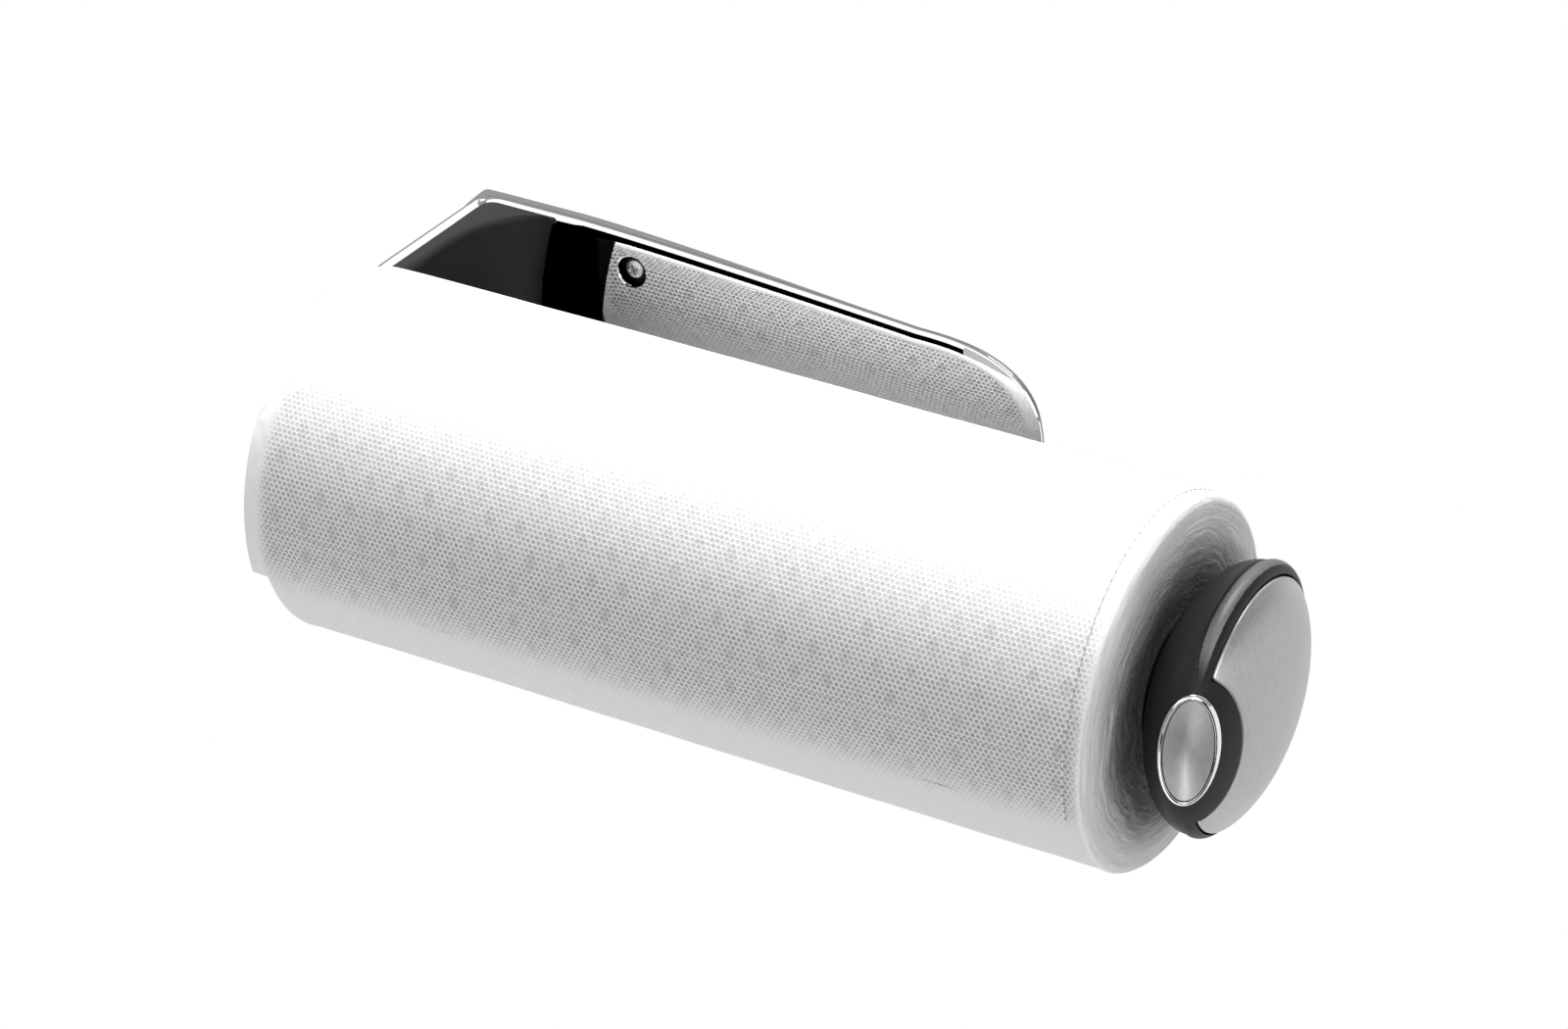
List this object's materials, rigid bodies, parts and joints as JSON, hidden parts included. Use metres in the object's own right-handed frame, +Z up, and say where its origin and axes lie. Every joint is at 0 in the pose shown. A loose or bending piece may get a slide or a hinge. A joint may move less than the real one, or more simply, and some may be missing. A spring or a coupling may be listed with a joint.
{
  "type": "wall-mounted paper towel holder",
  "caption": "Wall-mounted paper towel holder: polished L bracket, horizontal rod, a paper roll and a pebble-shaped end knob with a thumb button.",
  "frame": {"origin": "on the wall face of the back plate, level with the rod and at the middle of the roll", "axes": "+X along the rod to the knob, +Y into the wall, +Z up"},
  "size_m": [0.3323, 0.1731, 0.1134],
  "materials": {
    "polished_steel": "mirror polished stainless steel",
    "satin_steel": "satin",
    "rod_steel": "satin",
    "brushed_steel": "fine brushed",
    "button_steel": "satin",
    "chrome": "polished",
    "spring_steel": "drawn wire",
    "screw_steel": "plain",
    "dark_plastic": "satin dark grey",
    "cardboard": "matte",
    "paper": "matte embossed tissue"
  },
  "bodies": {
    "bracket": {"wall_plate": "satin_steel", "bracket_band": "polished_steel", "wall_screw_1": "screw_steel", "wall_screw_2": "screw_steel", "wall_screw_3": "screw_steel", "arm_liner": "dark_plastic", "rod_flange": "satin_steel", "flange_screw_1": "screw_steel", "flange_screw_2": "screw_steel", "flange_screw_3": "screw_steel", "rod_tube": "rod_steel", "rod_tip": "satin_steel", "left_hub": "dark_plastic"},
    "roll": {"core_tube": "cardboard", "paper_roll": "paper", "outer_sheet": "paper"},
    "knob": {"knob_body": "dark_plastic", "knob_cap": "brushed_steel", "back_cover": "dark_plastic", "right_hub": "dark_plastic", "knob_screw_1": "screw_steel", "knob_screw_2": "screw_steel", "knob_screw_3": "screw_steel", "button_bezel": "chrome", "latch_clip": "spring_steel", "button_spring": "spring_steel"},
    "button": {"button_dish": "button_steel", "button_plunger": "dark_plastic"}
  },
  "joints": [
    {"name": "roll_spin", "type": "hinge", "parent": "bracket", "child": "roll", "pos_m": [0, -0.1045, 0], "axis": [1, 0, 0], "continuous": true},
    {"name": "knob_pull", "type": "slide", "parent": "bracket", "child": "knob", "axis": [1, 0, 0], "range_m": [0, 0.06], "deforming": ["latch_clip"]},
    {"name": "button_press", "type": "slide", "parent": "knob", "child": "button", "axis": [-0.3584, 0.9336, 0], "range_m": [0, 0.0028], "stiffness_N_per_m": 700, "springref_m": -0.001, "deforming": ["button_spring"]}
  ]
}
